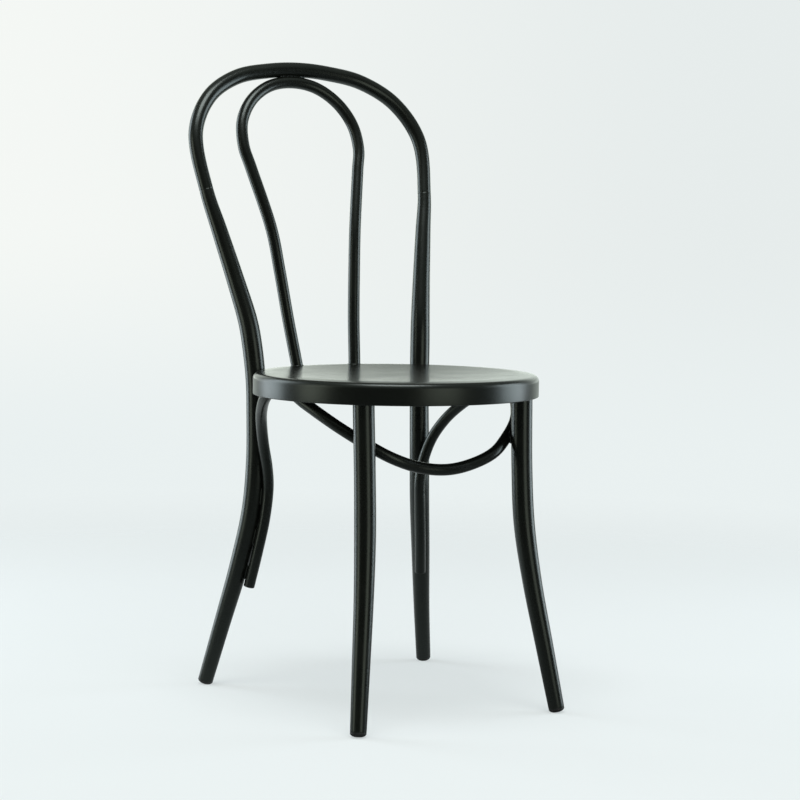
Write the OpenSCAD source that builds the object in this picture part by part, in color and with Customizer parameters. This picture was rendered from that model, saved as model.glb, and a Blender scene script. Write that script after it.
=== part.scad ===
// Metal cafe chair with a bent-tube double hoop back and a round pressed seat.
// Millimetres, +Z up. The sitter faces -Y, and the sitter's left is +X.
// The tubes are hollow steel. Each tube follows stations that are measured from
// the seat, so the frame moves with the seat when a seat size changes.

/* [Seat] */
// outside diameter of the round seat
seat_d = 400; // [340:1:460]
// height of the seat's rim above the floor
seat_height = 463; // [420:1:520]
// height of the seat's turned-down skirt, rim included
skirt_height = 29.5; // [20:0.5:45]
// thickness of the pressed seat sheet
seat_sheet = 1.5; // [1:0.1:3]
// radius of the rounding between the seat's top and its skirt
rim_round = 8; // [3:0.5:10]
// depth of the shallow bowl in the seat's top
dish_depth = 3; // [1:0.5:8]
// radius of the flat spot in the middle of the bowl
dish_flat = 30; // [10:1:100]
// height of the inward hem along the skirt's lower edge
hem = 3; // [2:0.5:5]

/* [Rear legs] */
// outside diameter of the rear leg tube beside the seat
leg_d = 28.4; // [22:0.2:36]
// outside diameter of the rear leg tube at the floor
leg_foot_d = 21.9; // [16:0.1:30]
// outside diameter of the back hoop at its two joints
joint_d = 20.4; // [14:0.2:24]
// wall of the rear leg and back hoop tubes
leg_wall = 1.2; // [0.8:0.1:2.5]
// angle of the rear legs on the seat, from straight back toward the side
leg_angle = 40.65; // [30:0.05:55]
// distance that each rear leg is set into the seat's skirt, in a notch
leg_notch = 3.1; // [0:0.1:4]
// distance that a rear foot stands outside the leg's place at the seat
foot_out = 48.8; // [0:0.1:90]
// distance that a rear foot stands behind the leg's place at the seat
foot_back = 56.8; // [0:0.1:110]

/* [Back hoop] */
// height of the back hoop's middle line at the top, above the seat's rim
hoop_rise = 435.5; // [350:0.5:520]
// outside diameter of the back hoop at the top
hoop_d = 22.2; // [16:0.2:30]
// backward lean of the hoop, in millimetres back for each millimetre up
hoop_lean = 0.308; // [0.1:0.002:0.45]
// distance that the hoop's top leans back past that straight line
hoop_tip = 10.5; // [0:0.5:20]
// half of the back hoop's greatest width between middle lines
hoop_half = 190.5; // [165:0.5:230]
// length of the inner sleeve in each hoop joint
sleeve_length = 40; // [20:1:60]
// extra room around the straight sleeve, for the bend of the tube
sleeve_bow = 0.6; // [0.3:0.1:1.5]

/* [Inner hoop] */
// outside diameter of the inner hoop's tube
inner_d = 17.6; // [12:0.2:24]
// wall of the inner hoop's tube
inner_wall = 1.2; // [0.8:0.1:2.5]
// half of the inner hoop's width where it stands in the seat
inner_foot_half = 48; // [35:0.5:70]
// half of the inner hoop's greatest width between middle lines
inner_half = 97; // [75:0.5:120]
// sideways place of the inner hoop, which stands a little to the sitter's right
inner_shift = -13; // [-20:0.5:20]
// distance between the seat's edge and the inner hoop where it stands in the seat
inner_inset = 12.5; // [11:0.5:30]
// length of the inner hoop's ends below the seat's rim
inner_tail = 13; // [8:0.5:18]

/* [Front legs] */
// outside diameter of the front leg tube under the seat
front_d = 29.2; // [22:0.2:36]
// outside diameter of the front leg tube at the floor
front_foot_d = 22; // [16:0.2:30]
// wall of the front leg tubes
front_wall = 1.2; // [0.8:0.1:2.5]
// angle of the front legs on the seat, from straight ahead toward the side
front_angle = 44.7; // [30:0.1:60]
// distance between the seat's edge and the middle of a front leg's top
front_inset = 20; // [17:0.5:40]
// distance that a front foot stands outside the leg's top, to the side
front_out = 32; // [0:0.5:70]
// distance that a front foot stands ahead of the leg's top
front_ahead = 50; // [0:0.5:90]
// diameter of the welded plate on each front leg's top
plate_d = 25; // [20:0.5:40]
// thickness of the welded plate on each front leg's top
plate_t = 3; // [2:0.5:6]

/* [Brace] */
// outside diameter of the brace tube
brace_d = 16; // [12:0.2:22]
// wall of the brace tube
brace_wall = 1.2; // [0.8:0.1:2.5]
// height of the brace's lower ends above the floor
brace_end_height = 148; // [80:1:260]
// depth of the brace's lowest point at the front, below the seat's rim
brace_drop = 122; // [80:1:200]
// distance between the seat's edge and the brace at its lowest point
brace_inset = 66; // [40:0.5:120]
// distance between the seat's edge and the brace at its highest point, inside the skirt
peak_inset = 18; // [14:0.5:26]
// depth of the brace below the seat's rim where it passes a front leg
brace_pass = 85; // [60:1:110]
// angle of that place around the leg, from straight behind toward the middle
brace_turn = 36.5; // [0:0.5:60]
// extra distance between a rear leg and the brace's lower end
brace_stray = 4; // [0:0.5:8]
// length of the plug in each lower end of the brace
plug_length = 14; // [6:1:30]
// thickness of the plug's cap outside the tube
plug_cap = 2; // [1:0.5:4]

/* [Glides] */
// height of the glide under each foot
glide_h = 6; // [3:0.5:12]
// distance that a glide stands out past its tube
glide_lip = 0.8; // [0:0.1:3]
// radius of the rounding on the glide's lower edge
glide_round = 4; // [0.5:0.5:5]
// length of the glide's upright stem inside its tube
stem_length = 12; // [6:1:16]

/* [Fits] */
// gap between tubes that meet side by side, and between a tube and its hole
seat_gap = 0.3; // [0.1:0.1:0.8]
// gap around the inner hoop in its two seat holes
hole_gap = 0.7; // [0.5:0.1:1]
// gap around each rear leg in its notch in the skirt
notch_gap = 0.5; // [0.4:0.1:0.9]
// gap around a plug, stem or sleeve inside its tube
plug_gap = 0.2; // [0.1:0.1:0.6]

/* [Fineness] */
// sides of each tube
sides = 18; // [13:1:24]
// number of straight pieces between two stations of a tube
steps = 3; // [1:1:4]

/* [Hidden] */
$fn = 96;
seat_r = seat_d / 2;
skirt_z = seat_height - skirt_height;
top_z = seat_height + hoop_rise;

// height of the bowl in the seat's top, at a distance from the middle
function dish_at(r) =
    let (t = max(0, r - dish_flat) / (seat_r - rim_round - dish_flat))
    seat_height - dish_depth * (1 - t * t);

black = [0.07, 0.07, 0.075];
rubber = [0.03, 0.03, 0.03];
steel = [0.45, 0.46, 0.48];

// curve through stations; a station is [x, y, z, radius]
function flip(p) = [-p[0], p[1], p[2], p[3]];
function mirrored(side) = concat(side, [for (i = [len(side) - 2 : -1 : 0]) flip(side[i])]);
function before(p, i) = i > 0 ? p[i - 1] : 2 * p[0] - p[1];
function after(p, i) = i < len(p) - 1 ? p[i + 1] : 2 * p[len(p) - 1] - p[len(p) - 2];
function step_xyz(a, b) = let (d = b - a) sqrt(norm([d[0], d[1], d[2]]));
// slope at a station, weighed by the lengths on both sides of it
function slope(p, i) =
    let (a = before(p, i), b = p[i], c = after(p, i), h = step_xyz(a, b), k = step_xyz(b, c))
    ((b - a) / h * k + (c - b) / k * h) / (h + k);
function spot(p, i, t) =
    let (k = step_xyz(p[i], p[i + 1]), m = slope(p, i) * k, n = slope(p, i + 1) * k)
    (2 * t * t * t - 3 * t * t + 1) * p[i] + (t * t * t - 2 * t * t + t) * m
    + (3 * t * t - 2 * t * t * t) * p[i + 1] + (t * t * t - t * t) * n;
function heading(p, i, t) =
    let (k = step_xyz(p[i], p[i + 1]), m = slope(p, i) * k, n = slope(p, i + 1) * k,
         v = (6 * t * t - 6 * t) * (p[i] - p[i + 1]) + (3 * t * t - 4 * t + 1) * m
             + (3 * t * t - 2 * t) * n)
    unit([v[0], v[1], v[2]]);
function unit(v) = v / norm(v);
function xyz(p) = [p[0], p[1], p[2]];
function at_height(p, z, i = 0) =
    i >= len(p) - 2 || p[i + 1][2] >= z ? near_height(p, i, z, 0, 1, 12) : at_height(p, z, i + 1);
function near_height(p, i, z, lo, hi, n) =
    let (m = (lo + hi) / 2)
    n == 0 ? [i, m] : spot(p, i, m)[2] < z ? near_height(p, i, z, m, hi, n - 1)
    : near_height(p, i, z, lo, m, n - 1);

// hollow tube along stations first to last; upright sets the ring's reference:
// 0 turns the rings about Y, 1 about the line from the seat's middle
module tube(p, wall, first, last, upright = 0, flat_start = 0) {
    spots = [for (i = [first : last - 1]) for (j = [0 : steps - 1]) [i, j / steps]];
    marks = concat(spots, [[last - 1, 1]]);
    rings = [for (m = marks) spot(p, m[0], m[1])];
    ways = [for (m = marks) heading(p, m[0], m[1])];
    n = len(rings);
    points = [for (skin = [0, 1]) for (k = [0 : n - 1])
        let (c = xyz(rings[k]), w = ways[k], r = rings[k][3] - skin * wall,
             ref = upright == 0 ? [0, 1, 0] : unit([c[0], c[1], 0]),
             e = unit(cross(w, ref)), f = cross(w, e))
        for (s = [0 : sides - 1])
            let (a = 360 * s / sides, q = c + r * (cos(a) * e + sin(a) * f))
            k == 0 && flat_start == 1 ? q + w * (c[2] - q[2]) / w[2] : q];
    half = n * sides;
    polyhedron(points, concat(
        [for (k = [0 : n - 2]) for (s = [0 : sides - 1]) for (h = [0, 1])
            let (a = k * sides, b = a + sides, t = (s + 1) % sides)
            h == 0 ? [a + s, a + t, b + t] : [a + s, b + t, b + s]],
        [for (k = [0 : n - 2]) for (s = [0 : sides - 1]) for (h = [0, 1])
            let (a = half + k * sides, b = a + sides, t = (s + 1) % sides)
            h == 0 ? [a + s, b + t, a + t] : [a + s, b + s, b + t]],
        [for (s = [0 : sides - 1]) for (h = [0, 1])
            let (t = (s + 1) % sides) h == 0 ? [s, half + s, half + t] : [s, half + t, t]],
        [for (s = [0 : sides - 1]) for (h = [0, 1])
            let (a = half - sides, t = (s + 1) % sides)
            h == 0 ? [a + s, a + half + t, a + half + s] : [a + s, a + t, a + half + t]]));
}

// round bar from a point along a direction
module bar(from, way, r, length) {
    w = unit(way);
    translate(from) rotate([0, acos(w[2]), atan2(w[1], w[0])]) cylinder(r = r, h = length);
}

// rear leg and back hoop: one path from the sitter's left foot over the top
leg_r = leg_d / 2;
leg_reach = seat_r + leg_r + seat_gap - leg_notch;
leg_x = leg_reach * sin(leg_angle);
leg_y = leg_reach * cos(leg_angle);
leg_z = seat_height - skirt_height / 2;
foot_r = leg_foot_d / 2;
joint_r = joint_d / 2;
hoop_r = hoop_d / 2;
hoop_low = up(0.1538);
hoop_low_y = leg_y + 10.3;
function hoop_y(z, tip = 0) = hoop_low_y + hoop_lean * (z - hoop_low) + tip * hoop_tip;
function up(k) = seat_height + k * hoop_rise;
function widen(k) = leg_x + k * (hoop_half - leg_x);
function hoop_at(x, k, tip, r) = [x, hoop_y(up(k), tip), up(k), r];
function from_foot(k, x, y, z, r) = [leg_x + k * foot_out + x, leg_y + k * foot_back + y, z, r];
hoop_side = [
    from_foot(1, 0, 0, glide_h, foot_r),
    from_foot(0.67, -0.2, -0.4, seat_height * 0.195, foot_r + (leg_r - foot_r) * 0.36),
    from_foot(0.31, 0.6, -1.8, seat_height * 0.39, leg_r - 0.4),
    from_foot(0, 3.8, 1.3, seat_height * 0.5616, leg_r + 0.5),
    from_foot(0, -0.2, -3.2, seat_height * 0.7127, leg_r + 0.5),
    from_foot(0, -0.7, -1.7, seat_height * 0.8596, leg_r + 0.1),
    from_foot(0, 0, 0, leg_z, leg_r + 0.2),
    from_foot(0, 3.5, 5.3, up(0.0804), leg_r + 0.3),
    [widen(0.136), hoop_low_y + 0.9, hoop_low, leg_r],
    hoop_at(widen(0.36), 0.2916, 0, leg_r - 1.2),
    hoop_at(widen(0.646), 0.4524, 0, leg_r - 2.6),
    hoop_at(widen(0.875), 0.5816, 0, joint_r),
    hoop_at(0.9895 * hoop_half, 0.7715, 0.1, joint_r + (hoop_r - joint_r) * 0.5),
    hoop_at(0.8241 * hoop_half, 0.8948, 0.42, hoop_r - 0.2),
    hoop_at(0.5564 * hoop_half, 0.9656, 0.8, hoop_r),
    hoop_at(0.2651 * hoop_half, 0.992, 0.97, hoop_r),
    hoop_at(0, 1, 1, hoop_r)
];
hoop_path = mirrored(hoop_side);
skirt_at = 6;
joint_at = 11;

module rear_leg() tube(hoop_path, leg_wall, 0, joint_at, 0, 1);

// inner hoop, whose crown rests under the back hoop's crown
inner_r = inner_d / 2;
inner_far = inner_foot_half + abs(inner_shift);
inner_foot_back = sqrt(pow(seat_r - inner_inset, 2) - pow(inner_far, 2));
crown_gap = hoop_r + inner_r + seat_gap;
inner_top = [0, hoop_y(top_z, 1), top_z]
    - crown_gap * [0, hoop_lean, 1] / norm([0, hoop_lean, 1]);
function inner_side_at(x, y, z) = [x, y, z, inner_r];
inner_side = [
    inner_side_at(inner_foot_half - 1.5, inner_foot_back - 2, seat_height - inner_tail),
    inner_side_at(inner_foot_half, inner_foot_back, seat_height),
    inner_side_at(inner_foot_half + 7, inner_foot_back + 15.5, seat_height + 67),
    inner_side_at(inner_foot_half + 14.5, inner_foot_back + 28.7, seat_height + 137),
    inner_side_at(inner_half - 27, inner_foot_back + 40.7, seat_height + 197),
    inner_side_at(inner_half - 7, inner_top[1] - 42.5, inner_top[2] - 129),
    inner_side_at(inner_half, inner_top[1] - 32.5, inner_top[2] - 97.5),
    inner_side_at(inner_half - 4, inner_top[1] - 20, inner_top[2] - 61),
    inner_side_at(inner_half - 24.5, inner_top[1] - 9.5, inner_top[2] - 29),
    inner_side_at(inner_half - 57.5, inner_top[1] - 2.5, inner_top[2] - 7),
    inner_side_at(0, inner_top[1], inner_top[2])
];
inner_path = mirrored(inner_side);
inner_last = len(inner_path) - 1;

// front leg on the sitter's left, foot first
front_r = front_d / 2;
front_foot_r = front_foot_d / 2;
front_x = (seat_r - front_inset) * sin(front_angle);
front_y = -(seat_r - front_inset) * cos(front_angle);
plate_reach = seat_r - front_inset - plate_d / 2;
front_top = dish_at(plate_reach) - seat_sheet - seat_gap - plate_t;
function from_top(k, x, y, z, r) = [front_x + k * front_out + x, front_y - k * front_ahead + y, z, r];
front_path = [
    from_top(1, 0, 0, glide_h, front_foot_r),
    from_top(0.64, 0, -3.5, seat_height * 0.195, front_foot_r + (front_r - front_foot_r) * 0.36),
    from_top(0.26, 0, -7, seat_height * 0.39, front_foot_r + (front_r - front_foot_r) * 0.7),
    from_top(0, 1, -9, seat_height - 203, front_r + 0.1),
    from_top(0, -0.8, -3.5, seat_height - 123, front_r),
    from_top(0, 0, 0, front_top - 30, front_r),
    from_top(0, 0.3, 0.7, front_top, front_r)
];
front_last = len(front_path) - 1;

// brace: up each rear leg, under the seat's side, behind each front leg, over the front
brace_r = brace_d / 2;
function beside_leg(z, a, stray) =
    let (k = at_height(hoop_path, z), s = spot(hoop_path, k[0], k[1]),
         d = s[3] + brace_r + seat_gap + stray * brace_stray)
    [s[0] - d * sin(a), s[1] - d * cos(a), z, brace_r];
pass_k = at_height(front_path, seat_height - brace_pass);
pass_s = spot(front_path, pass_k[0], pass_k[1]);
pass_d = pass_s[3] + brace_r + seat_gap;
peak_reach = seat_r - peak_inset - brace_r;
brace_peak = dish_at(peak_reach) - seat_sheet - seat_gap - brace_r;
function round_seat(a, inset, z) = [(seat_r - inset) * cos(a), (seat_r - inset) * sin(a), z, brace_r];
brace_side = [
    beside_leg(brace_end_height, 34, 1),
    beside_leg(seat_height * 0.432, 32, 0.5),
    beside_leg(seat_height * 0.54, 31, 0.2),
    beside_leg(seat_height * 0.6371, 29, 0),
    beside_leg(seat_height * 0.7019, 14, 0.12),
    round_seat(42.1, 9.8, seat_height - 108),
    round_seat(35.5, 11, seat_height - 78),
    round_seat(27, 12.5, seat_height - 54.5),
    round_seat(14, 13.5, seat_height - 30),
    round_seat(2, peak_inset, brace_peak),
    round_seat(-15, 25, seat_height - 34),
    round_seat(-31.5, 32, seat_height - 62),
    [pass_s[0] - pass_d * sin(brace_turn), pass_s[1] + pass_d * cos(brace_turn), pass_s[2], brace_r],
    round_seat(-57.9, 49.6, seat_height - brace_drop + 18),
    round_seat(-73, 63.2, seat_height - brace_drop + 4.5),
    [0, -(seat_r - brace_inset), seat_height - brace_drop, brace_r]
];
brace_path = mirrored(brace_side);
brace_last = len(brace_path) - 1;

// depth of the finished chair, to set its middle on the origin
front_edge = min(front_y - front_ahead - front_foot_r - glide_lip, -seat_r);
back_edge = hoop_y(top_z, 1) + hoop_r;
middle_y = (front_edge + back_edge) / 2;

module placed() translate([0, -middle_y, 0]) children();
module on_right() mirror([1, 0, 0]) children();

// pressed sheet profile, skirt edge first, over the rim and into the bowl
function rim_arc(r, steps) = [for (i = [0 : steps]) let (a = 90 * i / steps)
    [seat_r - rim_round + r * cos(a), seat_height - rim_round + r * sin(a)]];
function dish_line(drop, steps) = [for (i = [1 : steps])
    let (r = dish_flat + (seat_r - rim_round - dish_flat) * (1 - i / steps))
    [r, dish_at(r) - drop]];
function backward(p) = [for (i = [len(p) - 1 : -1 : 0]) p[i]];

module seat_profile() {
    outer = concat([[seat_r, skirt_z]], rim_arc(rim_round, 12), dish_line(0, 12),
        [[0, seat_height - dish_depth]]);
    inner = concat([[seat_r - seat_sheet, skirt_z + seat_sheet]],
        rim_arc(rim_round - seat_sheet, 10), dish_line(seat_sheet, 12),
        [[0, seat_height - dish_depth - seat_sheet]]);
    polygon(concat(outer, backward(inner),
        [[seat_r - hem, skirt_z + seat_sheet], [seat_r - hem, skirt_z]]));
}

// space that a rear leg takes where it passes the skirt
module leg_space() {
    way = heading(hoop_path, skirt_at, 0);
    s = hoop_path[skirt_at];
    bar(xyz(s) - way * skirt_height, way, s[3] + notch_gap, 2 * skirt_height);
}

module seat_pan() color(black) placed() difference() {
    rotate_extrude($fn = 180) seat_profile();
    leg_space();
    on_right() leg_space();
    for (s = [-1, 1])
        translate([inner_shift + s * inner_foot_half, inner_foot_back, skirt_z])
            cylinder(r = inner_r + hole_gap, h = 2 * skirt_height);
}

module rear_leg_left() color(black) placed() rear_leg();
module rear_leg_right() color(black) placed() on_right() rear_leg();
module back_hoop() color(black) placed()
    tube(hoop_path, leg_wall, joint_at, len(hoop_path) - 1 - joint_at);

module joint_sleeve() {
    way = heading(hoop_path, joint_at, 0);
    s = xyz(hoop_path[joint_at]);
    bar(s - way * sleeve_length / 2, way, joint_r - leg_wall - plug_gap - sleeve_bow, sleeve_length);
}
module joint_sleeve_left() color(steel) placed() joint_sleeve();
module joint_sleeve_right() color(steel) placed() on_right() joint_sleeve();

module inner_hoop() color(black) placed() translate([inner_shift, 0, 0])
    tube(inner_path, inner_wall, 0, inner_last);

module front_leg() tube(front_path, front_wall, 0, front_last, 0, 1);
module front_leg_left() color(black) placed() front_leg();
module front_leg_right() color(black) placed() on_right() front_leg();

module front_plate() translate([front_path[front_last][0], front_path[front_last][1], front_top])
    cylinder(d = plate_d, h = plate_t);
module front_plate_left() color(black) placed() front_plate();
module front_plate_right() color(black) placed() on_right() front_plate();

module brace() color(black) placed() tube(brace_path, brace_wall, 0, brace_last, 1);

module brace_plug() {
    way = heading(brace_path, 0, 0);
    s = xyz(brace_path[0]);
    bar(s - way * plug_cap, way, brace_r - brace_wall - plug_gap, plug_length);
    bar(s - way * plug_cap, way, brace_r - plug_gap, plug_cap);
}
module brace_plug_left() color(rubber) placed() brace_plug();
module brace_plug_right() color(rubber) placed() on_right() brace_plug();

// glide: a pad with a rounded lower edge, and an upright stem that fits in the leaning tube
module glide(p, wall) {
    way = heading(p, 0, 0);
    lean = norm([way[0], way[1]]) / way[2];
    stem_r = p[0][3] * cos(180 / sides) - wall - plug_gap - stem_length * lean;
    pad_r = p[0][3] + glide_lip;
    edge = [for (a = [0 : 15 : 90])
        [pad_r - glide_round * (1 - sin(a)), glide_round * (1 - cos(a))]];
    translate([p[0][0], p[0][1], 0]) rotate_extrude()
        polygon(concat([[0, 0]], edge, [[pad_r, glide_h], [stem_r, glide_h],
            [stem_r, glide_h + stem_length], [0, glide_h + stem_length]]));
}
module rear_glide_left() color(rubber) placed() glide(hoop_path, leg_wall);
module rear_glide_right() color(rubber) placed() on_right() glide(hoop_path, leg_wall);
module front_glide_left() color(rubber) placed() glide(front_path, front_wall);
module front_glide_right() color(rubber) placed() on_right() glide(front_path, front_wall);

seat_pan();
rear_leg_left();
rear_leg_right();
back_hoop();
joint_sleeve_left();
joint_sleeve_right();
inner_hoop();
front_leg_left();
front_leg_right();
front_plate_left();
front_plate_right();
brace();
brace_plug_left();
brace_plug_right();
rear_glide_left();
rear_glide_right();
front_glide_left();
front_glide_right();
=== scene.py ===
import math
import bmesh
import bpy
import numpy as np
from mathutils import Matrix, Vector


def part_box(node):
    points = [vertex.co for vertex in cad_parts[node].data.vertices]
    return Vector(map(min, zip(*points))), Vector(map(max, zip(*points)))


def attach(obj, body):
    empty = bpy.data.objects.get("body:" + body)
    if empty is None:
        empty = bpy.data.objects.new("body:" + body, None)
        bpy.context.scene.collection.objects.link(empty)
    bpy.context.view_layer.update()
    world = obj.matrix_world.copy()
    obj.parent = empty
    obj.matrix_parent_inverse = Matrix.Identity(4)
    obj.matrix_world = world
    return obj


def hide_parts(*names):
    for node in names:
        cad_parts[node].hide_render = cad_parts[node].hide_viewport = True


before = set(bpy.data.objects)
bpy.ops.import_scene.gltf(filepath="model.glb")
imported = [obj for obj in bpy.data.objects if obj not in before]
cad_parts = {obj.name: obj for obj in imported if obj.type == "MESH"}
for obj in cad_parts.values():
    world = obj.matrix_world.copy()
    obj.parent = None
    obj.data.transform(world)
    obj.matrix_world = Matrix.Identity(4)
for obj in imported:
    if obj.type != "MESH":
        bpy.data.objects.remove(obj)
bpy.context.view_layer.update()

MM = 0.001
TAU = 2 * math.pi

# Sizes in millimetres, seat first. Places are measured from the seat's middle on the floor.
SEAT_R = 200.0
SEAT_Z = 463.0
SKIRT = 29.5
SHEET = 1.5
RIM = 8.0          # the solids' rounding, inside which the bowl ends
DISH = 3.0
DISH_FLAT = 30.0
HEM = 3.0
GAP = 0.3
TUBE_WALL = 1.2

LEG_R = 14.2
FOOT_R = 10.95
LEG_ANGLE = math.radians(40.65)
LEG_NOTCH = 3.1
FOOT_OUT = 48.8
FOOT_BACK = 56.8

JOINT_R = 10.2
HOOP_R = 11.1
HOOP_RISE = 435.5
HOOP_LEAN = 0.308
HOOP_TIP = 10.5
HOOP_HALF = 190.5

INNER_R = 8.8
INNER_FOOT = 48.0
INNER_HALF = 97.0
INNER_SHIFT = -13.0
INNER_INSET = 12.5
INNER_TAIL = 13.0

FRONT_R = 14.6
FRONT_FOOT_R = 11.0
FRONT_ANGLE = math.radians(44.7)
FRONT_INSET = 20.0
FRONT_OUT = 32.0
FRONT_AHEAD = 50.0
PLATE_R = 12.5
PLATE_T = 3.0

BRACE_R = 8.0
BRACE_END = 148.0
BRACE_DROP = 122.0
BRACE_INSET = 66.0
BRACE_PASS = 85.0
BRACE_TURN = math.radians(36.5)
BRACE_STRAY = 4.0
PEAK_INSET = 18.0
PLUG_H = 6.0       # height of the legs' lower ends, on their middle lines

seat_low, seat_high = (Vector(c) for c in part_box("seat_pan"))
SHIFT = Vector(((seat_low.x + seat_high.x) / 2, (seat_low.y + seat_high.y) / 2, 0)) / MM


# Paths of the tubes
class Path:
    """A smooth curve through stations [x, y, z, radius], in millimetres."""

    def __init__(self, stations):
        self.p = np.array(stations, float)
        self.n = len(self.p)

    def step(self, a, b):
        return math.sqrt(np.linalg.norm((b - a)[:3]))

    def slope(self, i):
        p = self.p
        a = p[i - 1] if i > 0 else 2 * p[0] - p[1]
        c = p[i + 1] if i < self.n - 1 else 2 * p[-1] - p[-2]
        h, k = self.step(a, p[i]), self.step(p[i], c)
        return ((p[i] - a) / h * k + (c - p[i]) / k * h) / (h + k)

    def at(self, i, t):
        """Place and radius, and the unit direction, at share t of span i, which is a cubic curve."""
        a, b = self.p[i], self.p[i + 1]
        k = self.step(a, b)
        m, n = self.slope(i) * k, self.slope(i + 1) * k
        spot = (2 * t**3 - 3 * t * t + 1) * a + (t**3 - 2 * t * t + t) * m
        spot += (3 * t * t - 2 * t**3) * b + (t**3 - t * t) * n
        way = (6 * t * t - 6 * t) * (a - b) + (3 * t * t - 4 * t + 1) * m + (3 * t * t - 2 * t) * n
        way = way[:3]
        return spot, way / np.linalg.norm(way)

    def at_height(self, z):
        """The span, and the share of it, at which the path reaches a height."""
        i = 0
        while i < self.n - 2 and self.p[i + 1][2] < z:
            i += 1
        lo, hi = 0.0, 1.0
        for _ in range(24):
            mid = (lo + hi) / 2
            if self.at(i, mid)[0][2] < z:
                lo = mid
            else:
                hi = mid
        return i, (lo + hi) / 2

    def trace(self, first, last, pitch):
        """Points along the spans first to last, about pitch apart: a list of (centre, way, radius)."""
        out = []
        for i in range(first, last):
            n = max(2, round(np.linalg.norm((self.p[i + 1] - self.p[i])[:3]) / pitch))
            out += [self.at(i, j / n) for j in range(n)]
        out.append(self.at(last - 1, 1.0))
        return [(s[:3].copy(), w, s[3]) for s, w in out]


def dish_z(r):
    """Height of the seat's shallow bowl at a distance from its middle."""
    t = max(0.0, r - DISH_FLAT) / (SEAT_R - RIM - DISH_FLAT)
    return SEAT_Z - DISH * (1 - min(1.0, t) ** 2)


def mirrored(side):
    """Stations from one end to the mirror plane, and on to the other end."""
    return list(side) + [[-s[0]] + list(s[1:]) for s in side[-2::-1]]


def flip(trace):
    m = np.array((-1.0, 1.0, 1.0))
    return [(c * m, w * m, r) for c, w, r in trace]


leg_reach = SEAT_R + LEG_R + GAP - LEG_NOTCH
leg_x = leg_reach * math.sin(LEG_ANGLE)
leg_y = leg_reach * math.cos(LEG_ANGLE)


def rise(k):
    """Height at a share of the way from the seat to the hoop's top."""
    return SEAT_Z + k * HOOP_RISE


hoop_low = rise(0.1538)
hoop_low_y = leg_y + 10.3


def hoop_y(z, tip):
    """How far back the hoop stands at a height. tip is the share of the crown's extra lean."""
    return hoop_low_y + HOOP_LEAN * (z - hoop_low) + tip * HOOP_TIP


def widen(k):
    """Distance from the middle at a share of the way from the leg to the hoop's widest place."""
    return leg_x + k * (HOOP_HALF - leg_x)


def leg_at(k, x, y, z, r):
    """A station of the rear leg, k of the way out to the foot, with the leg's own bend x, y."""
    return [leg_x + k * FOOT_OUT + x, leg_y + k * FOOT_BACK + y, z, r]


def hoop_at(x, k, tip, r):
    return [x, hoop_y(rise(k), tip), rise(k), r]


# from the sitter's left foot up the leg and to the top of the hoop, as measured
hoop = Path(mirrored([
    leg_at(1, 0, 0, PLUG_H, FOOT_R),
    leg_at(0.67, -0.2, -0.4, SEAT_Z * 0.195, FOOT_R + (LEG_R - FOOT_R) * 0.36),
    leg_at(0.31, 0.6, -1.8, SEAT_Z * 0.39, LEG_R - 0.4),
    leg_at(0, 3.8, 1.3, SEAT_Z * 0.5616, LEG_R + 0.5),
    leg_at(0, -0.2, -3.2, SEAT_Z * 0.7127, LEG_R + 0.5),
    leg_at(0, -0.7, -1.7, SEAT_Z * 0.8596, LEG_R + 0.1),
    leg_at(0, 0, 0, SEAT_Z - SKIRT / 2, LEG_R + 0.2),
    leg_at(0, 3.5, 5.3, rise(0.0804), LEG_R + 0.3),
    [widen(0.136), hoop_low_y + 0.9, hoop_low, LEG_R],
    hoop_at(widen(0.36), 0.2916, 0, LEG_R - 1.2),
    hoop_at(widen(0.646), 0.4524, 0, LEG_R - 2.6),
    hoop_at(widen(0.875), 0.5816, 0, JOINT_R),
    hoop_at(0.9895 * HOOP_HALF, 0.7715, 0.1, (JOINT_R + HOOP_R) / 2),
    hoop_at(0.8241 * HOOP_HALF, 0.8948, 0.42, HOOP_R - 0.2),
    hoop_at(0.5564 * HOOP_HALF, 0.9656, 0.8, HOOP_R),
    hoop_at(0.2651 * HOOP_HALF, 0.992, 0.97, HOOP_R),
    hoop_at(0, 1, 1, HOOP_R),
]))
JOINT = 11         # the station where leg and hoop are joined

inner_back = math.sqrt((SEAT_R - INNER_INSET) ** 2 - (INNER_FOOT + abs(INNER_SHIFT)) ** 2)
lean = np.array((0, HOOP_LEAN, 1)) / math.hypot(HOOP_LEAN, 1)
crown = np.array((0, hoop_y(rise(1), 1), rise(1))) - (HOOP_R + INNER_R + GAP) * lean
inner = Path([[x + INNER_SHIFT, y, z, INNER_R] for x, y, z in mirrored([
    [INNER_FOOT - 1.5, inner_back - 2, SEAT_Z - INNER_TAIL],
    [INNER_FOOT, inner_back, SEAT_Z],
    [INNER_FOOT + 7, inner_back + 15.5, SEAT_Z + 67],
    [INNER_FOOT + 14.5, inner_back + 28.7, SEAT_Z + 137],
    [INNER_HALF - 27, inner_back + 40.7, SEAT_Z + 197],
    [INNER_HALF - 7, crown[1] - 42.5, crown[2] - 129],
    [INNER_HALF, crown[1] - 32.5, crown[2] - 97.5],
    [INNER_HALF - 4, crown[1] - 20, crown[2] - 61],
    [INNER_HALF - 24.5, crown[1] - 9.5, crown[2] - 29],
    [INNER_HALF - 57.5, crown[1] - 2.5, crown[2] - 7],
    [0, crown[1], crown[2]],
])])

front_x = (SEAT_R - FRONT_INSET) * math.sin(FRONT_ANGLE)
front_y = -(SEAT_R - FRONT_INSET) * math.cos(FRONT_ANGLE)
front_top = dish_z(SEAT_R - FRONT_INSET - PLATE_R) - SHEET - GAP - PLATE_T


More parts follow.
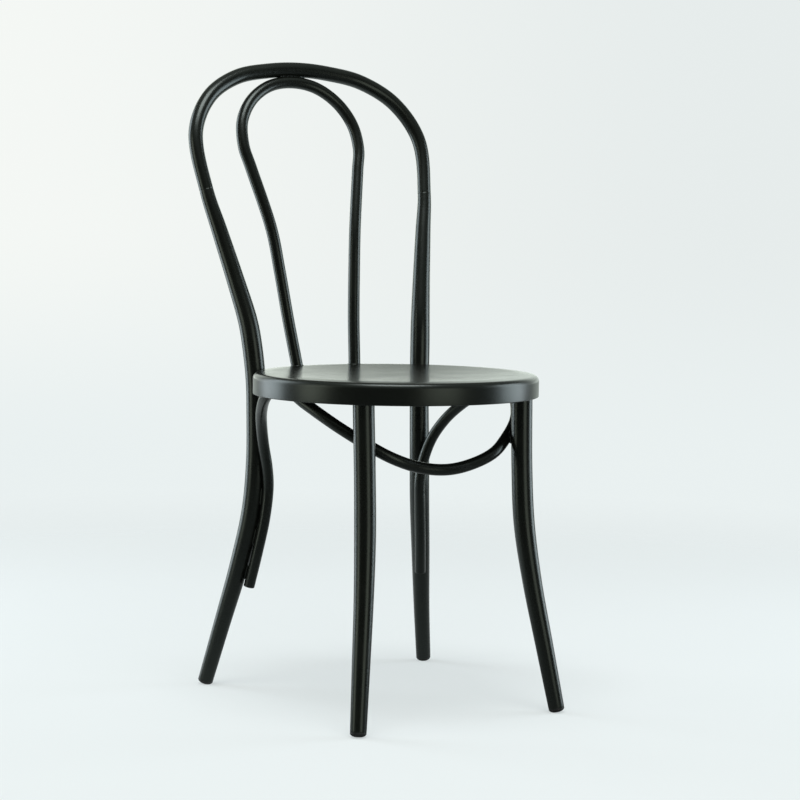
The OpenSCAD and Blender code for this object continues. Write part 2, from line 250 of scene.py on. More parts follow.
def front_at(k, x, y, z, r):
    """A station of the front leg, k of the way out to the foot, with the leg's own bend x, y."""
    return [front_x + k * FRONT_OUT + x, front_y - k * FRONT_AHEAD + y, z, r]


front = Path([
    front_at(1, 0, 0, PLUG_H, FRONT_FOOT_R),
    front_at(0.64, 0, -3.5, SEAT_Z * 0.195, FRONT_FOOT_R + (FRONT_R - FRONT_FOOT_R) * 0.36),
    front_at(0.26, 0, -7, SEAT_Z * 0.39, FRONT_FOOT_R + (FRONT_R - FRONT_FOOT_R) * 0.7),
    front_at(0, 1, -9, SEAT_Z - 203, FRONT_R + 0.1),
    front_at(0, -0.8, -3.5, SEAT_Z - 123, FRONT_R),
    front_at(0, 0, 0, front_top - 30, FRONT_R),
    front_at(0, 0.3, 0.7, front_top, FRONT_R),
])


def beside_leg(z, degrees, stray):
    """A station of the brace against the rear leg, or a share of BRACE_STRAY away from it."""
    s = hoop.at(*hoop.at_height(z))[0]
    d = s[3] + BRACE_R + GAP + stray * BRACE_STRAY
    a = math.radians(degrees)
    return [s[0] - d * math.sin(a), s[1] - d * math.cos(a), z, BRACE_R]


def round_seat(degrees, inset, z):
    """A station of the brace at a bearing round the seat and a distance in from its edge."""
    a = math.radians(degrees)
    return [(SEAT_R - inset) * math.cos(a), (SEAT_R - inset) * math.sin(a), z, BRACE_R]


# the front leg where the brace passes it
passing = front.at(*front.at_height(SEAT_Z - BRACE_PASS))[0]
pass_d = passing[3] + BRACE_R + GAP
brace = Path(mirrored([
    beside_leg(BRACE_END, 34, 1),
    beside_leg(SEAT_Z * 0.432, 32, 0.5),
    beside_leg(SEAT_Z * 0.54, 31, 0.2),
    beside_leg(SEAT_Z * 0.6371, 29, 0),
    beside_leg(SEAT_Z * 0.7019, 14, 0.12),
    round_seat(42.1, 9.8, SEAT_Z - 108),
    round_seat(35.5, 11, SEAT_Z - 78),
    round_seat(27, 12.5, SEAT_Z - 54.5),
    round_seat(14, 13.5, SEAT_Z - 30),
    round_seat(2, PEAK_INSET, dish_z(SEAT_R - PEAK_INSET - BRACE_R) - SHEET - GAP - BRACE_R),
    round_seat(-15, 25, SEAT_Z - 34),
    round_seat(-31.5, 32, SEAT_Z - 62),
    [passing[0] - pass_d * math.sin(BRACE_TURN), passing[1] + pass_d * math.cos(BRACE_TURN),
     passing[2], BRACE_R],
    round_seat(-57.9, 49.6, SEAT_Z - BRACE_DROP + 18),
    round_seat(-73, 63.2, SEAT_Z - BRACE_DROP + 4.5),
    [0, -(SEAT_R - BRACE_INSET), SEAT_Z - BRACE_DROP, BRACE_R],
]))

PITCH = 4.0        # distance between a tube's rings
leg_l = hoop.trace(0, JOINT, PITCH)
hoop_mid = hoop.trace(JOINT, hoop.n - 1 - JOINT, PITCH)
inner_t = inner.trace(0, inner.n - 1, PITCH)
front_l = front.trace(0, front.n - 1, PITCH)
brace_t = brace.trace(0, brace.n - 1, PITCH)


# Mesh helpers
SHARP = 0.7        # radians past which an edge is shaded as sharp


def new_object(name, verts, faces, mat, slot, nodes=(), sharp=SHARP):
    """A piece from places in millimetres round the seat, on the chair's one body."""
    mesh = bpy.data.meshes.new(name)
    mesh.from_pydata([tuple((Vector(v) + SHIFT) * MM) for v in verts], [], faces)
    bm = bmesh.new()
    bm.from_mesh(mesh)
    bmesh.ops.recalc_face_normals(bm, faces=bm.faces)
    for f in bm.faces:
        f.smooth = True
    bm.to_mesh(mesh)
    bm.free()
    mesh.set_sharp_from_angle(angle=sharp)
    obj = bpy.data.objects.new(name, mesh)
    bpy.context.collection.objects.link(obj)
    mesh.materials.append(mat)
    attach(obj, "root")
    for n in nodes:
        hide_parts(n)
    return obj


def loft(rings, close=False, caps=True):
    """Vertices and faces of a skin over rings of equal length."""
    n = len(rings[0])
    verts = [p for ring in rings for p in ring]
    faces = []
    rows = len(rings)
    for k in range(rows if close else rows - 1):
        a, b = k * n, (k + 1) % rows * n
        faces += [(a + s, a + (s + 1) % n, b + (s + 1) % n, b + s) for s in range(n)]
    if caps and not close:
        for start in (0, (rows - 1) * n):
            verts.append(sum((np.array(verts[start + s]) for s in range(n)), np.zeros(3)) / n)
            faces += [(start + s, start + (s + 1) % n, len(verts) - 1) for s in range(n)]
    return verts, faces


def square_to(w):
    """A unit direction square to w."""
    e = np.cross(w, (0, 1, 0) if abs(w[1]) < 0.8 else (1, 0, 0))
    return e / np.linalg.norm(e)


def frames(trace):
    """Two directions across the path at each of its points, carried along without twist."""
    e = square_to(trace[0][1])
    out = []
    for _, w, _ in trace:
        e = e - w * np.dot(e, w)
        e = e / np.linalg.norm(e)
        out.append((e, np.cross(w, e)))
    return out


def ring(centre, e, f, r, n):
    """Places on a circle in the plane of the directions e and f."""
    return [centre + r * (math.cos(TAU * s / n) * e + math.sin(TAU * s / n) * f) for s in range(n)]


TUBE_SIDES = 44
# a rounded tube end, as pairs of a distance back from the end and an inset there
EDGE = ((1.8, 0.0), (1.1, 0.03), (0.5, 0.1), (0.2, 0.18), (0.0, 0.26))


def tube(name, trace, node, edge=EDGE):
    """A coated tube along a trace, with both ends shaped by the pairs of edge."""
    axes = frames(trace)
    rings = [ring(c, *axes[k], r, TUBE_SIDES) for k, (c, w, r) in enumerate(trace)]
    for at, step in ((0, 1), (-1, -1)):
        c, w, r = trace[at]
        made = [ring(c + step * w * back, *axes[at], r - inset, TUBE_SIDES) for back, inset in edge]
        rings = made[::-1] + rings[1:] if step == 1 else rings[:-1] + made
    new_object(name, *loft(rings), tube_coat, "black_coat", (node,))


def lathe(name, profile, mat, slot, nodes, steps=64, centre=(0, 0, 0), way=(0, 0, 1)):
    """A closed turned form. The profile runs from axis to axis as (radius, height) pairs."""
    w = np.array(way, float)
    w = w / np.linalg.norm(w)
    e = square_to(w)
    c = np.array(centre, float)
    rings = [ring(c + w * h, e, np.cross(w, e), r, steps) for r, h in profile if r > 0]
    verts, faces = loft(rings, caps=False)
    for start, h in ((0, profile[0][1]), (len(verts) - steps, profile[-1][1])):
        verts.append(c + w * h)
        faces += [(start + s, start + (s + 1) % steps, len(verts) - 1) for s in range(steps)]
    return new_object(name, verts, faces, mat, slot, nodes)


# Materials
def material(name):
    mat = bpy.data.materials.new(name)
    mat.use_nodes = True
    tree = mat.node_tree
    tree.nodes.clear()
    out = tree.nodes.new("ShaderNodeOutputMaterial")
    bsdf = tree.nodes.new("ShaderNodeBsdfPrincipled")
    tree.links.new(bsdf.outputs["BSDF"], out.inputs["Surface"])
    return mat, tree, bsdf


def noise(tree, coords, scale, detail):
    n = tree.nodes.new("ShaderNodeTexNoise")
    n.inputs["Scale"].default_value = scale
    n.inputs["Detail"].default_value = detail
    tree.links.new(coords, n.inputs["Vector"])
    return n.outputs["Fac"]


def spread(tree, value, low, high, out_low, out_high):
    """The range low to high of a value, laid over the range out_low to out_high."""
    m = tree.nodes.new("ShaderNodeMapRange")
    for socket, v in (("From Min", low), ("From Max", high), ("To Min", out_low), ("To Max", out_high)):
        m.inputs[socket].default_value = v
    tree.links.new(value, m.inputs["Value"])
    return m.outputs["Result"]


def blend_colour(tree, share, first, second, blend="MIX"):
    """A mix of two colours, each given as three numbers or as a socket."""
    m = tree.nodes.new("ShaderNodeMix")
    m.data_type = "RGBA"
    m.blend_type = blend
    for socket, v in (("A", first), ("B", second)):
        if isinstance(v, tuple):
            m.inputs[socket].default_value = (*v, 1)
        else:
            tree.links.new(v, m.inputs[socket])
    tree.links.new(share, m.inputs["Factor"])
    return m.outputs["Result"]


def math_node(tree, operation, a, b):
    m = tree.nodes.new("ShaderNodeMath")
    m.operation = operation
    for socket, v in ((m.inputs[0], a), (m.inputs[1], b)):
        if isinstance(v, (int, float)):
            socket.default_value = v
        else:
            tree.links.new(v, socket)
    return m.outputs[0]


def soft_step(tree, value, low, high):
    """0 up to low and 1 from high on, with a smooth rise between them."""
    m = tree.nodes.new("ShaderNodeMapRange")
    m.interpolation_type = "SMOOTHSTEP"
    m.inputs["From Min"].default_value = low
    m.inputs["From Max"].default_value = high
    tree.links.new(value, m.inputs["Value"])
    return m.outputs["Result"]


def along(tree, vector, direction):
    m = tree.nodes.new("ShaderNodeVectorMath")
    m.operation = "DOT_PRODUCT"
    m.inputs[1].default_value = direction
    tree.links.new(vector, m.inputs[0])
    return m.outputs["Value"]


def bump(tree, height, distance, strength):
    b = tree.nodes.new("ShaderNodeBump")
    b.inputs["Distance"].default_value = distance
    b.inputs["Strength"].default_value = strength
    tree.links.new(height, b.inputs["Height"])
    return b.outputs["Normal"]


COAT_DARK = (0.0030, 0.0035, 0.0025)
COAT_LIGHT = (0.0048, 0.0055, 0.0042)
COAT_TINT = (0.87, 1.0, 0.95, 1)
RUBBER_DARK = (0.004, 0.0045, 0.004)
RUBBER_LIGHT = (0.010, 0.011, 0.010)
STEEL_DARK = (0.30, 0.30, 0.31)
STEEL_LIGHT = (0.46, 0.46, 0.47)


def coated(name, rough, wave, worn=None):
    """Black powder coat: a satin skin that is slightly cloudy, with low, wide orange peel.
    rough is its range of roughness, wave the strength of the peel, and worn the smoother
    range that use has left on level top faces."""
    mat, tree, bsdf = material(name)
    coords = tree.nodes.new("ShaderNodeTexCoord").outputs["Object"]
    cloud = noise(tree, coords, scale=22.0, detail=2.0)
    fine = noise(tree, coords, scale=1100.0, detail=2.0)
    tree.links.new(blend_colour(tree, cloud, COAT_DARK, COAT_LIGHT), bsdf.inputs["Base Color"])
    mixed = math_node(tree, "ADD", math_node(tree, "MULTIPLY", fine, 0.4), cloud)
    satin = spread(tree, mixed, 0.4, 1.0, *rough)
    if worn:
        normal = tree.nodes.new("ShaderNodeTexCoord").outputs["Normal"]
        level = soft_step(tree, along(tree, normal, (0, 0, 1)), 0.55, 0.97)
        choose = tree.nodes.new("ShaderNodeMix")
        tree.links.new(level, choose.inputs["Factor"])
        tree.links.new(satin, choose.inputs["A"])
        tree.links.new(spread(tree, mixed, 0.4, 1.0, *worn), choose.inputs["B"])
        satin = choose.outputs["Result"]
    tree.links.new(satin, bsdf.inputs["Roughness"])
    peel = noise(tree, coords, scale=330.0, detail=1.0)
    tree.links.new(bump(tree, peel, distance=0.00002, strength=wave), bsdf.inputs["Normal"])
    bsdf.inputs["IOR"].default_value = 1.5
    bsdf.inputs["Specular Tint"].default_value = COAT_TINT
    return mat


def rubber(name):
    mat, tree, bsdf = material(name)
    coords = tree.nodes.new("ShaderNodeTexCoord").outputs["Object"]
    grain = noise(tree, coords, scale=1400.0, detail=3.0)
    patch = noise(tree, coords, scale=90.0, detail=2.0)
    tree.links.new(blend_colour(tree, patch, RUBBER_DARK, RUBBER_LIGHT), bsdf.inputs["Base Color"])
    tree.links.new(spread(tree, grain, 0.3, 0.7, 0.38, 0.56), bsdf.inputs["Roughness"])
    tree.links.new(bump(tree, grain, distance=0.00005, strength=0.5), bsdf.inputs["Normal"])
    return mat


def bare_steel(name):
    mat, tree, bsdf = material(name)
    coords = tree.nodes.new("ShaderNodeTexCoord").outputs["Object"]
    mill = noise(tree, coords, scale=700.0, detail=4.0)
    patch = noise(tree, coords, scale=60.0, detail=3.0)
    tree.links.new(blend_colour(tree, patch, STEEL_DARK, STEEL_LIGHT), bsdf.inputs["Base Color"])
    tree.links.new(spread(tree, mill, 0.3, 0.7, 0.28, 0.5), bsdf.inputs["Roughness"])
    tree.links.new(bump(tree, mill, distance=0.00003, strength=0.4), bsdf.inputs["Normal"])
    bsdf.inputs["Metallic"].default_value = 1.0
    return mat


tube_coat = coated("tube_black_coat", rough=(0.25, 0.30), wave=0.12)
seat_coat = coated("seat_black_coat", rough=(0.28, 0.33), wave=0.3, worn=(0.22, 0.26))
weld_coat = coated("weld_black_coat", rough=(0.24, 0.34), wave=1.0)
cap_rubber = rubber("cap_rubber")
steel = bare_steel("sleeve_steel")


# Seat
def arc(cr, cz, r, start, stop, n):
    """Points of an arc from start to stop degrees, both ends kept."""
    return [(cr + r * math.cos(math.radians(a)), cz + r * math.sin(math.radians(a)))
            for a in (start + (stop - start) * k / n for k in range(n + 1))]


# the bowl rises to a soft crown inside the rim, which rolls over into the corner of the skirt
BOWL_R = 170.0     # where the bowl ends and the crown begins
BOWL_LIFT = 1.9    # how much higher the bowl lies than the solids' bowl
CROWN_BEND = 170.0
CORNER = 9.0
SEAT_SIDES = 288
bowl_slope = (dish_z(BOWL_R) - dish_z(BOWL_R - 0.1)) / 0.1
crown_start = 90 + math.degrees(math.atan(bowl_slope))
crown_r = BOWL_R - CROWN_BEND * math.cos(math.radians(crown_start))
crown_z = dish_z(BOWL_R) + BOWL_LIFT - CROWN_BEND * math.sin(math.radians(crown_start))
crown_stop = math.degrees(math.acos((SEAT_R - CORNER - crown_r) / (CROWN_BEND - CORNER)))
corner_z = crown_z + (CROWN_BEND - CORNER) * math.sin(math.radians(crown_stop))


def top_z(r):
    """Height of the seat's top, in the bowl or on the crown."""
    if r < BOWL_R:
        return dish_z(r) + BOWL_LIFT
    return crown_z + math.sqrt(CROWN_BEND**2 - (r - crown_r) ** 2)


def dish(drop, n):
    """The bowl from the middle out to the crown, drop lower than the top."""
    radii = [BOWL_R * k / n for k in range(n + 1)]
    return [(r, top_z(r) - drop) for r in radii]


LIP = 1.1          # rounding of the skirt's lower edge
HEM_BEND = 0.4     # rise from the hem to the skirt's inside
skirt_low = SEAT_Z - SKIRT
seat_profile = (
    dish(0, 40)
    + arc(crown_r, crown_z, CROWN_BEND, crown_start, crown_stop, 14)[1:]
    + arc(SEAT_R - CORNER, corner_z, CORNER, crown_stop, 0, 14)[1:]
    + arc(SEAT_R - LIP, skirt_low + LIP, LIP, 0, -90, 6)
    + arc(SEAT_R - HEM, skirt_low + SHEET / 2, SHEET / 2, -90, -270, 8)
    + [(SEAT_R - SHEET, skirt_low + SHEET + HEM_BEND)]
    + arc(SEAT_R - CORNER, corner_z, CORNER - SHEET, 0, crown_stop, 8)
    + arc(crown_r, crown_z, CROWN_BEND - SHEET, crown_stop, crown_start, 8)[1:]
    + dish(SHEET, 24)[::-1][1:]
)
lathe("seat_shell", seat_profile, seat_coat, "black_coat", ("seat_pan",), steps=SEAT_SIDES)

# Tubes
tube("rear_tube_left", leg_l, "rear_leg_left")
tube("rear_tube_right", flip(leg_l), "rear_leg_right")
tube("hoop_tube", hoop_mid, "back_hoop")
tube("inner_tube", inner_t, "inner_hoop")
tube("front_tube_left", front_l, "front_leg_left")
tube("front_tube_right", flip(front_l), "front_leg_right")

# the brace's ends are open, with a plug set back inside
OPEN = ((1.2, 0.0), (0.6, 0.05), (0.2, 0.2), (0.0, 0.45), (0.0, TUBE_WALL - 0.3),
        (0.15, TUBE_WALL - 0.1), (0.5, TUBE_WALL), (1.6, TUBE_WALL))
tube("brace_tube", brace_t, "brace", OPEN)

PLUG_BACK = 0.7    # how far the plug is set back, and the rounding of its edge
PLUG_INNER = 9.0   # how far it reaches into the tube
PLUG_R = BRACE_R - TUBE_WALL + 0.02
plug_profile = (
    [(0, PLUG_BACK)]
    + arc(PLUG_R - PLUG_BACK, 2 * PLUG_BACK, PLUG_BACK, -90, 0, 6)
    + arc(PLUG_R - 0.3, PLUG_INNER - 0.3, 0.3, 0, 90, 4)
    + [(0, PLUG_INNER)]
)
SIDES = (("left", 1), ("right", -1))
for side, m in SIDES:
    c, w, r = brace_t[0]
    lathe(f"brace_end_cap_{side}", plug_profile, cap_rubber, "glide_rubber", (f"brace_plug_{side}",),
          steps=40, centre=c * (m, 1, 1), way=w * (m, 1, 1))


# Foot caps
CAP_WIDE = 9.0     # width of the dome's rounding
CAP_DEEP = 5.0     # depth of the dome
CAP_PRESS = 0.5    # how much of its low side the floor has flattened


def foot_cap(name, trace, node, m):
    """A domed plug, square to the leg, with a small flat where its low side stands."""
    c, w, r = trace[0]
    lean = math.hypot(w[0], w[1])
    drop = (r - CAP_WIDE) * lean + math.hypot(CAP_WIDE * lean, CAP_DEEP * w[2])
    start = (c[2] + CAP_PRESS - drop) / w[2]
    # the plug's shoulder starts just inside the tube's rounded end
    seam = [(0, -0.5), (r - 0.9, -0.5), (r - 0.35, 0.05), (r - 0.05, 0.3)]
    dome = [(r - CAP_WIDE + CAP_WIDE * x, start + CAP_DEEP * y) for x, y in arc(0, 0, 1, 0, 90, 12)]
    cap = lathe(name, seam + dome + [(0, start + CAP_DEEP)], cap_rubber, "glide_rubber", (node,),
                centre=c * (m, 1, 1), way=w * (-m, -1, -1))
    for v in cap.data.vertices:
        v.co.z = max(v.co.z, 0.0)


for side, m in SIDES:
    foot_cap(f"foot_cap_rear_{side}", leg_l, f"rear_glide_{side}", m)
    foot_cap(f"foot_cap_front_{side}", front_l, f"front_glide_{side}", m)


# Welds
WELD = 2.2           # radius of the beads on the skirt
BRACE_WELD = 1.3
CROSS_WELD = 2.4
COLLAR_WELD = 1.76
BEAD_PITCH = 0.6     # distance between the rings of an open bead
BEAD_PACE = 2.4      # distance between a bead's ripples
BEAD_SIDES = 10
BEAD_SHARP = 1.4
VALLEY_SINK = 0.9    # beads lie a little deeper than a ball would
SKIRT_SINK = 0.93
CROSS_STEPS = 72
BRACE_LEAVES = 172.0   # how far below the seat the brace leaves the rear leg
COLLAR_R = FRONT_R + 3.8
COLLAR_BEVEL = 0.4
NECK_R = FRONT_R - 0.6
NECK = 0.9             # the collar's neck: its height, and how far out and down its bead lies


def table(trace):
    """The trace's centres and radii as the rows [x, y, z, radius]."""
    return np.array([[*c, r] for c, w, r in trace])


def level_with(points, z):
    """The row that is nearest to a height."""
    return points[int(np.argmin(abs(points[:, 2] - z)))]


def circle(x, y, r, n):
    """Places on a level circle, as pairs."""
    return [(x + r * math.cos(TAU * k / n), y + r * math.sin(TAU * k / n)) for k in range(n)]


def nearest(points, q):
    """Distance from q to the skin of the tube along points."""
    d = points[:, :3] - q
    k = int(np.argmin((d * d).sum(axis=1)))
    best = None
    for a, b in ((k - 1, k), (k, k + 1)):
        if a < 0 or b >= len(points):
            continue
        pa, pb = points[a], points[b]
        v = (pb - pa)[:3]
        t = min(1.0, max(0.0, float(np.dot(q - pa[:3], v) / np.dot(v, v))))
        p = pa + (pb - pa) * t
        gap = np.linalg.norm(q - p[:3]) - p[3]
        if best is None or gap < best:
            best = gap
    return best


def bead(name, points, radius, closed=False, ripple=0.10):
    """A weld bead along points: a round cord with scale-like ripples, pointed at its open ends."""
    pts = [np.array(p, float) for p in points]
    n = len(pts)
    rings = []
    run = 0.0
    e = None
    for k in range(n):
        a = pts[(k - 1) % n if closed else max(0, k - 1)]
        b = pts[(k + 1) % n if closed else min(n - 1, k + 1)]
        w = (b - a) / np.linalg.norm(b - a)
        if e is None:
            e = np.cross(w, (0.3, 0.5, 0.8))
        e = e - w * np.dot(e, w)
        e = e / np.linalg.norm(e)
        if k:
            run += np.linalg.norm(pts[k] - pts[k - 1])
        grow = 1 + ripple * math.sin(TAU * run / BEAD_PACE)
        if not closed:
            grow *= math.sqrt(min(1.0, 0.08 + min(k, n - 1 - k) / 4))
        rings.append(ring(pts[k], e, np.cross(w, e), radius * grow, BEAD_SIDES))
    new_object(name, *loft(rings, close=closed), weld_coat, "black_coat", sharp=BEAD_SHARP)


def dense(points):
    """The same line with points BEAD_PITCH apart."""
    pts = [np.array(p, float) for p in points]
    out = []
    for a, b in zip(pts, pts[1:]):
        n = max(1, round(np.linalg.norm(b - a) / BEAD_PITCH))
        out += [a + (b - a) * k / n for k in range(n)]
    return out + [pts[-1]]


def valley(own, other, radius, side):
    """Line of a ball's centre that rolls between two tubes, along the points of own."""
    line = []
    for c, w, r in own:
        d = other[:, :3] - c
        past = d @ w
        d = d - np.outer(past, w)
        # points of the other tube more than 6 mm further along are left out
        k = int(np.argmin((d * d).sum(axis=1) + 1e3 * (np.abs(past) > 6)))
        gap = np.linalg.norm(d[k])
        n = d[k] / gap
        big = other[k][3]
        x = ((r + radius) ** 2 - (big + radius) ** 2 + gap * gap) / (2 * gap)
        y = math.sqrt(max(0.0, (r + radius) ** 2 - x * x))
        line.append(c + n * x + side * np.cross(n, w) * y * VALLEY_SINK)
    return dense(line)


def crossing(own, other, near, radius):
    """Closed line round the place where two tubes cross."""
    # where the tubes come closest, within 60 mm of the place that is given
    gaps = np.array([nearest(other, p[:3]) for p in own])
    close = np.where(np.linalg.norm(own[:, :3] - near, axis=1) < 60, gaps, 1e6)
    c = own[int(np.argmin(close))]
    k = int(np.argmin(np.linalg.norm(other[:, :3] - c[:3], axis=1)))
    n = other[k][:3] - c[:3]
    n = n / np.linalg.norm(n)
    mid = c[:3] + n * (c[3] + GAP / 2)
    e = np.cross(n, (0.1, 0.2, 1.0))
    e = e / np.linalg.norm(e)
    f = np.cross(n, e)
    line = []
    for s in range(CROSS_STEPS):
        u = math.cos(TAU * s / CROSS_STEPS) * e + math.sin(TAU * s / CROSS_STEPS) * f

        def settle(d):
            """The room on either side at a distance from the middle, and the place between."""
            lo, hi = -8.0, 8.0
            for _ in range(14):
                h = (lo + hi) / 2
                q = mid + u * d + n * h
                if nearest(own, q) < nearest(other, q):
                    lo = h
                else:
                    hi = h
            return nearest(own, q), q

        # outward until the bead sits between both tubes, or 8.5 mm at most
        lo, hi = 0.5, 8.5
        for _ in range(12):
            d = (lo + hi) / 2
            room, q = settle(d)
            if room < radius * 0.62:
                lo = d
            else:
                hi = d
        line.append(q)
    return line


for side, m in SIDES:
    own = brace_t if m == 1 else flip(brace_t)
    legs = table(leg_l if m == 1 else flip(leg_l))
    fronts = table(front_l if m == 1 else flip(front_l))

    # three stitches between the brace and the rear leg, each on both sides
    top = next(k for k, t in enumerate(own) if t[0][2] > SEAT_Z - BRACE_LEAVES)
    for j, (first, last) in enumerate(((2, 8), (top // 2 - 3, top // 2 + 4), (top - 6, top + 1))):
        for letter, s in (("a", -1), ("b", 1)):
            line = valley(own[first:last], legs, BRACE_WELD, s)
            bead(f"weld_brace_leg_{side}_{j}_{letter}", line, BRACE_WELD)

    line = crossing(table(own), fronts, level_with(fronts, SEAT_Z - BRACE_PASS)[:3], CROSS_WELD)
    bead(f"weld_brace_front_{side}", line, CROSS_WELD, closed=True)

    # the rear leg against the skirt: one bead up each side of the line of contact
    for letter, s in (("a", -1), ("b", 1)):
        line = []
        for z in np.arange(skirt_low + 1.5, SEAT_Z - RIM - 1, 1.0):
            x, y, _, r = level_with(legs, z)
            gap = math.hypot(x, y)
            n = (x / gap, y / gap)
            x = ((SEAT_R + WELD) ** 2 - (r + WELD) ** 2 + gap * gap) / (2 * gap)
            y = s * SKIRT_SINK * math.sqrt(max(0.0, (SEAT_R + WELD) ** 2 - x * x))
            line.append((n[0] * x - n[1] * y, n[1] * x + n[0] * y, z))
        bead(f"weld_seat_leg_{side}_{letter}", dense(line), WELD)

    # the front leg's collar under the seat
    x, y, _ = front_l[-1][0] * (m, 1, 1)
    collar = [(0, 0), (COLLAR_R - COLLAR_BEVEL, 0), (COLLAR_R, COLLAR_BEVEL),
              (COLLAR_R, PLATE_T - COLLAR_BEVEL), (COLLAR_R - COLLAR_BEVEL, PLATE_T),
              (NECK_R, PLATE_T), (NECK_R, PLATE_T + NECK), (0, PLATE_T + NECK)]
    lathe(f"front_collar_{side}", collar, tube_coat, "black_coat", (f"front_plate_{side}",),
          steps=48, centre=(x, y, front_top))
    line = [(*spot, front_top - NECK) for spot in circle(x, y, FRONT_R + NECK, 90)]
    bead(f"weld_front_collar_{side}", line, COLLAR_WELD, closed=True)

# the inner hoop's feet in the seat: a height on the hoop, how far the bead's middle lies from
# the seat's top, and the bead's radius
FEET = (("top", SEAT_Z - 1.2, -0.25, 0.9), ("under", SEAT_Z - SHEET - 2.6, -SHEET - 0.5, 1.6))
for side, trace in (("right", inner_t), ("left", inner_t[::-1])):
    for place, z, lift, radius in FEET:
        c, _, r = min(trace[:12], key=lambda t: abs(t[0][2] - z))
        line = [(x, y, top_z(math.hypot(x, y)) + lift) for x, y in circle(c[0], c[1], r + 0.7, 64)]
        bead(f"weld_inner_{side}_{place}", line, radius, closed=True, ripple=0.03)

# the two crowns where they touch: a stitch along the front and back of the line of contact
middle = len(inner_t) // 2
for letter, s, radius in (("a", -1, 1.8), ("b", 1, 1.0)):
    line = valley(inner_t[middle - 5:middle + 6], table(hoop_mid), radius, s)
    bead(f"weld_crown_{letter}", line, radius)

for side in ("left", "right"):
    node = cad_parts[f"joint_sleeve_{side}"]
    node.data.materials.clear()
    node.data.materials.append(steel)

# Camera
YAW = -0.545237
PITCH_DOWN = 0.081899
ROLL = 0.012399
FOCAL_PX = 2218.732
FRAME_PX = 800
SENSOR = 36.0
EYE = np.array((-1602.345, -2653.161, 679.862))

flat = math.cos(PITCH_DOWN)
ahead = np.array((-math.sin(YAW) * flat, math.cos(YAW) * flat, -math.sin(PITCH_DOWN)))
level_right = np.array((math.cos(YAW), math.sin(YAW), 0.0))
level_up = np.cross(level_right, ahead)
image_right = level_right * math.cos(ROLL) + level_up * math.sin(ROLL)
image_up = level_up * math.cos(ROLL) - level_right * math.sin(ROLL)
eye = (Vector(EYE) + SHIFT) * MM
cam = bpy.data.cameras.new("camera")
cam.sensor_width = SENSOR
cam.lens = FOCAL_PX * SENSOR / FRAME_PX
cam.clip_start = 0.05
cam.clip_end = 60
camera = bpy.data.objects.new("camera", cam)
bpy.context.collection.objects.link(camera)
rows = [[image_right[i], image_up[i], -ahead[i], eye[i]] for i in range(3)]
camera.matrix_world = Matrix(rows + [[0, 0, 0, 1]])
bpy.context.scene.camera = camera

# Floor, backdrop and lamps, in metres
BACKDROP = Vector((ahead[0], ahead[1], 0)).normalized()
IMAGE_RIGHT = Vector((image_right[0], image_right[1], 0)).normalized()
PAPER = (0.82, 0.875, 0.875)
FIBRE_DARK = (0.74, 0.785, 0.785)
FIBRE_LIGHT = (0.775, 0.82, 0.82)
# one even paper wall with painted light and shade: paler where light falls on its left, darker on its
# right
WALL_LIT_LEFT = (0.91, 0.935, 0.91)
WALL_SHADED_RIGHT = (0.795, 0.84, 0.835)
GLOSS_CAST = (0.95, 1.0, 0.93)
FLOOR_R = 3.0
FLOOR_SIDES = 96
GLOW_SEEN = 0.55      # share of the paper's colour that glows by itself, as the camera sees it
GLOW_IN_GLOSS = 0.82  # the same in reflections
ROOM_GLOW = 0.5       # what the room adds to the light on the chair

floor_mesh = bpy.data.meshes.new("floor")
rim = [(x, y, 0) for x, y in circle(0, 0, FLOOR_R, FLOOR_SIDES)]
fans = [(0, k + 1, (k + 1) % FLOOR_SIDES + 1) for k in range(FLOOR_SIDES)]
floor_mesh.from_pydata([(0, 0, 0)] + rim, [], fans)
floor = bpy.data.objects.new("floor", floor_mesh)
bpy.context.collection.objects.link(floor)


def mix_shader(tree, share, a, b):
    m = tree.nodes.new("ShaderNodeMixShader")
    tree.links.new(share, m.inputs["Fac"])
    tree.links.new(a, m.inputs[1])
    tree.links.new(b, m.inputs[2])
    return m.outputs[0]


def is_camera(tree):
    return tree.nodes.new("ShaderNodeLightPath").outputs["Is Camera Ray"]


def is_seen(tree):
    """1 for rays from the camera, from gloss and through glass."""
    path = tree.nodes.new("ShaderNodeLightPath")
    direct = math_node(tree, "MAXIMUM", path.outputs["Is Camera Ray"], path.outputs["Is Glossy Ray"])
    return math_node(tree, "MAXIMUM", direct, path.outputs["Is Transmission Ray"])


